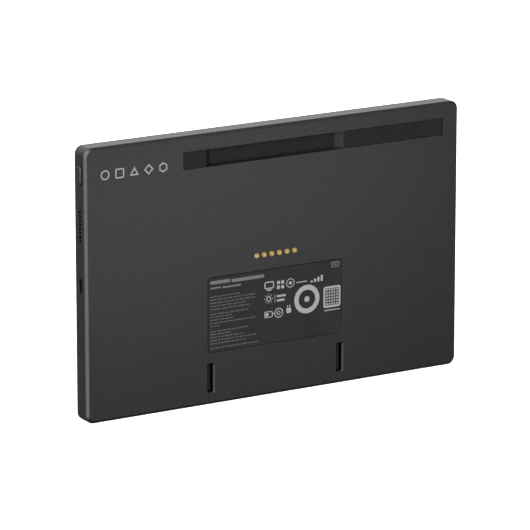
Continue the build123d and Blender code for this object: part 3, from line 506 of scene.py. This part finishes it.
MATERIAL_OF_SLOT = {
    "shell_metal": lambda s: anodised(s, SHELL_GREY),
    "window_plastic": lambda s: moulded(s, (0.006, 0.006, 0.0061), 0.50, specular=0.17),
    "black_plastic": lambda s: moulded(s, (0.010, 0.010, 0.0105), 0.5, specular=0.2),
    "cup_plastic": dead_black,
    "socket_black": lambda s: moulded(
        s, (0.0025, 0.0025, 0.0025), 0.8, grain=0.0003, strength=0.1, specular=0.0
    ),
    "cover_glass": black_glass,
    "display_stack": lambda s: moulded(s, (0.012, 0.013, 0.016), 0.15, grain=0.01, strength=0.03),
    "clear_bond": lambda s: clear_sheet(s, (0.9, 0.9, 0.9), 0.1),
    "light_guide": lambda s: clear_sheet(s, (0.82, 0.84, 0.86), 0.25),
    "steel": lambda s: sheet_metal(s, (0.62, 0.62, 0.63)),
    "screw_steel": lambda s: sheet_metal(s, (0.42, 0.42, 0.44), 0.28),
    "plate_metal": lambda s: sheet_metal(s, (0.66, 0.67, 0.68), 0.36),
    "contact_gold": gold_contact,
    "circuit_board": circuit_board,
    "chip_black": lambda s: moulded(s, (0.03, 0.03, 0.032), 0.45, grain=0.0003),
    "connector_plastic": lambda s: moulded(s, (0.05, 0.05, 0.052), 0.4),
    "battery_film": pouch_film,
    "seal_rubber": lambda s: moulded(s, (0.03, 0.03, 0.03), 0.8, grain=0.0008, strength=0.3),
    "tape": lambda s: moulded(s, (0.02, 0.02, 0.02), 0.6, grain=0.001, strength=0.25),
    "flat_cable": flat_cable,
    "lead_jacket": lambda s: moulded(s, (0.04, 0.04, 0.045), 0.5, grain=0.0006),
    "antenna_sheet": lambda s: moulded(s, (0.03, 0.03, 0.035), 0.35, grain=0.0008),
    "thermal_pad": lambda s: moulded(s, (0.35, 0.40, 0.50), 0.7, grain=0.001, strength=0.35),
    "driver": lambda s: moulded(s, (0.06, 0.06, 0.06), 0.5, grain=0.0008, strength=0.3),
    "mesh": woven_mesh,
    "label_film": lambda s: moulded(
        s, (0.0085, 0.0085, 0.0087), 0.5, grain=0.0004, strength=0.1, specular=0.25
    ),
    "button_metal": lambda s: anodised(s, SHELL_GREY, lightening=0.4),
    "plunger": lambda s: moulded(s, (0.7, 0.7, 0.68), 0.5),
}


def dress_nodes():
    """Gives every CAD node the material of its slot."""
    made = {}
    for part in frame["record"]["subparts"]:
        slot = part["material_slot"]
        if slot not in made:
            made[slot] = MATERIAL_OF_SLOT[slot](slot)
        for material_slot in nodes[part["node"]].material_slots:
            material_slot.material = made[slot]


# ---------------------------------------------------------------- printed marks
# Places and sizes in a print are in mm.
PRINT_RAISE = 0.02 * MM
PRINT_SINK = 0.01 * MM
ARC_STEPS = 6
LEAST_CORNER = 0.05


def rear_point(u, v, y):
    """Point on the back: u runs to the right as seen from behind, v up from mid height, in mm."""
    return Vector((-u * MM, y, MID_Z + v * MM))


def polygon_points(cu, cv, radius, sides, turn=90):
    """Corners of a regular polygon, counter-clockwise from the angle turn, in degrees."""
    angles = [math.radians(turn + 360 * i / sides) for i in range(sides)]
    return [(cu + radius * math.cos(angle), cv + radius * math.sin(angle)) for angle in angles]


def ring_points(cu, cv, radius, count=40):
    return polygon_points(cu, cv, radius, count, turn=0)


def bar_points(cu, cv, width, height, radius):
    """Rounded rectangle, counter-clockwise."""
    points = []
    corners = ((1, 1, 0), (-1, 1, 90), (-1, -1, 180), (1, -1, 270))
    for su, sv, start in corners:
        for step in range(ARC_STEPS + 1):
            angle = math.radians(start + 90 * step / ARC_STEPS)
            points.append((
                cu + su * (width / 2 - radius) + radius * math.cos(angle),
                cv + sv * (height / 2 - radius) + radius * math.sin(angle),
            ))
    return points


class Print:
    """Thin printed shapes on the back, gathered into one mesh."""

    def __init__(self, surface_y):
        self.mesh = bmesh.new()
        self.low = surface_y - PRINT_SINK
        self.high = surface_y + PRINT_RAISE

    def loops(self, points):
        """The same outline just under the surface and just above it."""
        low = [self.mesh.verts.new(rear_point(u, v, self.low)) for u, v in points]
        high = [self.mesh.verts.new(rear_point(u, v, self.high)) for u, v in points]
        return low, high

    def walls(self, low, high):
        for i in range(len(low)):
            j = (i + 1) % len(low)
            self.mesh.faces.new((low[i], low[j], high[j], high[i]))

    def filled(self, points):
        """A solid shape."""
        low, high = self.loops(points)
        self.walls(low, high)
        self.mesh.faces.new(high)
        self.mesh.faces.new(list(reversed(low)))

    def outline(self, outer, inner):
        """Band between two outlines with the same number of points."""
        outer_low, outer_high = self.loops(outer)
        inner_low, inner_high = self.loops(inner)
        self.walls(outer_low, outer_high)
        self.walls(list(reversed(inner_low)), list(reversed(inner_high)))
        for i in range(len(outer)):
            j = (i + 1) % len(outer)
            self.mesh.faces.new((outer_high[i], outer_high[j], inner_high[j], inner_high[i]))
            self.mesh.faces.new((outer_low[j], outer_low[i], inner_low[i], inner_low[j]))

    def bar(self, cu, cv, width, height, radius=0.2):
        self.filled(bar_points(cu, cv, width, height, radius))

    def frame(self, cu, cv, width, height, radius, stroke):
        outer = bar_points(cu, cv, width, height, radius)
        corner = max(radius - stroke, LEAST_CORNER)
        inner = bar_points(cu, cv, width - 2 * stroke, height - 2 * stroke, corner)
        self.outline(outer, inner)

    def ring(self, cu, cv, radius, stroke):
        self.outline(ring_points(cu, cv, radius), ring_points(cu, cv, radius - stroke))

    def polygon(self, cu, cv, radius, sides, stroke, turn=90):
        inner = radius - stroke / math.cos(math.pi / sides)
        self.outline(
            polygon_points(cu, cv, radius, sides, turn), polygon_points(cu, cv, inner, sides, turn)
        )

    def finish(self, name, material):
        """Makes the piece, which rides on the panel."""
        bmesh.ops.recalc_face_normals(self.mesh, faces=self.mesh.faces)
        data = bpy.data.meshes.new(name)
        self.mesh.to_mesh(data)
        self.mesh.free()
        data.materials.append(material)
        piece = bpy.data.objects.new(name, data)
        bpy.context.scene.collection.objects.link(piece)
        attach(piece, "panel")


MARK_LEFT = -117.5
MARK_V = 67.3
MARK_STEP = 9.85
MARK_RADIUS = 3.0
MARK_CORNER = 0.9
MARK_STROKE = 0.85
# The mark's polygons: (place in the row, sides, size beside the ring, how far it is lowered).
MARK_POLYGONS = [(2, 3, 1.2, 0.7), (3, 4, 1.1, 0), (4, 6, 1.05, 0)]


def add_rear_mark(ink):
    """A row of five plain outline shapes, near the corner."""
    mark = Print(BACK_Y)
    mark.ring(MARK_LEFT, MARK_V, MARK_RADIUS, MARK_STROKE)
    mark.frame(
        MARK_LEFT + MARK_STEP, MARK_V, 2 * MARK_RADIUS, 2 * MARK_RADIUS, MARK_CORNER, MARK_STROKE
    )
    for place, sides, size, drop in MARK_POLYGONS:
        u = MARK_LEFT + place * MARK_STEP
        mark.polygon(u, MARK_V - drop, MARK_RADIUS * size, sides, MARK_STROKE)
    mark.finish("rear_mark", ink)


TEXT_LEFT = -46.1
TEXT_HEIGHT = 0.62
TEXT_CORNER = 0.28
WORD_LENGTHS = (1.4, 5.0)
WORD_GAP = 0.55
LEAST_WORD = 0.8
TEXT_SEED = 4
# Lines of small print on the label: (height up the panel, right end).
SMALL_PRINT = [
    (-17.2, -25.3), (-19.1, -13.8), (-21.1, -14.6), (-23.1, -21.5), (-25.1, -18.4),
    (-28.1, -19.6), (-29.9, -30.6), (-31.8, -29.9), (-33.7, -14.2), (-35.6, -39.8),
    (-38.9, -19.6), (-40.7, -30.3), (-42.6, -23.0), (-44.5, -13.8), (-46.5, -21.1),
    (-49.4, -11.6),
]


def add_small_print(ink):
    """Word-length dashes in place of the label's small print."""
    dice = random.Random(TEXT_SEED)
    text = Print(LABEL_Y)
    for v, right_end in SMALL_PRINT:
        u = TEXT_LEFT
        while u < right_end - LEAST_WORD:
            length = min(dice.uniform(*WORD_LENGTHS), right_end - u)
            text.bar(u + length / 2, v, length, TEXT_HEIGHT, TEXT_CORNER)
            u += length + WORD_GAP
    text.finish("label_small_print", ink)


LABEL_CORNER = 2.8
# Width of the painted shade line round the label, in mm.
GAP_SHADE_STROKE = 0.25


def add_label_gap_shade(ink):
    """Painted shade: a black line round the label's edge, standing in for the shade in the gap round
    the label.
    """
    low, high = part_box("rating_label")
    width, height = (high.x - low.x) / MM, (high.z - low.z) / MM
    middle = (low.z + high.z) / 2 / MM - MID_Z / MM
    border = Print(LABEL_Y)
    border.frame(0, middle, width, height, LABEL_CORNER, GAP_SHADE_STROKE)
    border.finish("label_gap_shade", ink)


def add_label_title(ink):
    """Title bars and a plain tag along the label's top."""
    title = Print(LABEL_Y)
    title.bar(-39.0, -8.4, 14.2, 2.1, 0.7)
    title.bar(-19.6, -8.8, 22.8, 2.1, 0.7)
    title.bar(-42.3, -11.8, 7.6, 1.0, 0.4)
    title.bar(-30.9, -12.1, 13.0, 1.0, 0.4)
    # tag
    title.frame(42.5, -8.3, 5.6, 3.4, 0.8, 0.55)
    title.bar(42.5, -8.3, 2.6, 0.8, 0.3)
    title.finish("label_title", ink)


def add_first_marks(marks):
    """Upper row: a screen, four tiles, a ring and dot, a line, and four rising bars."""
    marks.frame(-4.6, -15.2, 6.8, 4.6, 1.0, 0.75)
    marks.bar(-4.6, -18.3, 3.6, 0.8, 0.3)
    for du in (-1.5, 1.5):
        for dv in (-1.5, 1.5):
            marks.bar(3.4 + du, -15.9 + dv, 2.1, 2.1, 0.4)
    marks.ring(10.4, -15.8, 2.9, 0.5)
    marks.filled(ring_points(10.4, -15.8, 1.1, 24))
    marks.bar(18.4, -16.2, 7.6, 0.6, 0.25)
    for i in range(4):
        height = 1.3 + 0.85 * i
        marks.bar(25.6 + 2.4 * i, -17.6 + height / 2, 1.5, height, 0.3)


def add_second_marks(marks):
    """Middle row: a sun, and two bars behind a thin upright line."""
    marks.ring(-5.0, -23.8, 1.7, 0.6)
    for u, v in polygon_points(-5.0, -23.8, 2.7, 8):
        marks.filled(ring_points(u, v, 0.36, 12))
    marks.bar(-0.6, -24.1, 0.3, 5.2, 0.1)
    marks.bar(3.9, -22.9, 6.4, 1.3, 0.4)
    marks.bar(3.5, -25.6, 5.6, 1.3, 0.4)


def add_third_marks(marks):
    """Lower row: a battery, a ring with a diamond, and a plug with two pins."""
    marks.frame(-5.2, -33.6, 5.8, 4.0, 0.8, 0.5)
    marks.bar(-1.95, -33.6, 0.6, 1.6, 0.2)
    marks.bar(-6.2, -33.6, 2.2, 2.0, 0.3)
    marks.ring(2.1, -33.5, 3.1, 0.6)
    marks.polygon(2.1, -33.5, 1.7, 4, 0.5)
    marks.bar(9.2, -33.0, 3.4, 3.2, 0.9)
    marks.bar(8.4, -30.6, 0.6, 1.8, 0.2)
    marks.bar(10.0, -30.6, 0.6, 1.8, 0.2)


def add_large_marks(marks):
    """A large ring round a hexagon, and a tile of dots with a line under it."""
    marks.ring(22.2, -27.6, 9.0, 3.1)
    marks.filled(polygon_points(22.2, -27.6, 2.0, 6))
    marks.frame(40.2, -28.4, 12.2, 13.4, 1.2, 1.3)
    for row in range(6):
        for column in range(5):
            marks.bar(36.6 + 1.8 * column, -32.9 + 1.8 * row, 1.15, 1.15, 0.2)
    marks.bar(40.3, -36.8, 11.4, 0.6, 0.25)


def add_label_marks(ink):
    """Plain shapes in place of the label's marks."""
    marks = Print(LABEL_Y)
    add_first_marks(marks)
    add_second_marks(marks)
    add_third_marks(marks)
    add_large_marks(marks)
    marks.finish("label_marks", ink)


add_camera()
add_studio()
add_softbox()
add_floor(floor_finish("floor"))
dress_nodes()
add_rear_mark(printed_ink("mark_ink", (0.20, 0.20, 0.197)))
# The black ink round the label is painted shade of the gap round it.
add_label_gap_shade(printed_ink("gap_shade_ink", (0.0015, 0.0015, 0.0015), 0.0))
add_label_title(printed_ink("title_ink", (0.085, 0.085, 0.084)))
add_small_print(printed_ink("small_print_ink", (0.052, 0.052, 0.0515)))
add_label_marks(printed_ink("label_ink", (0.20, 0.20, 0.197)))
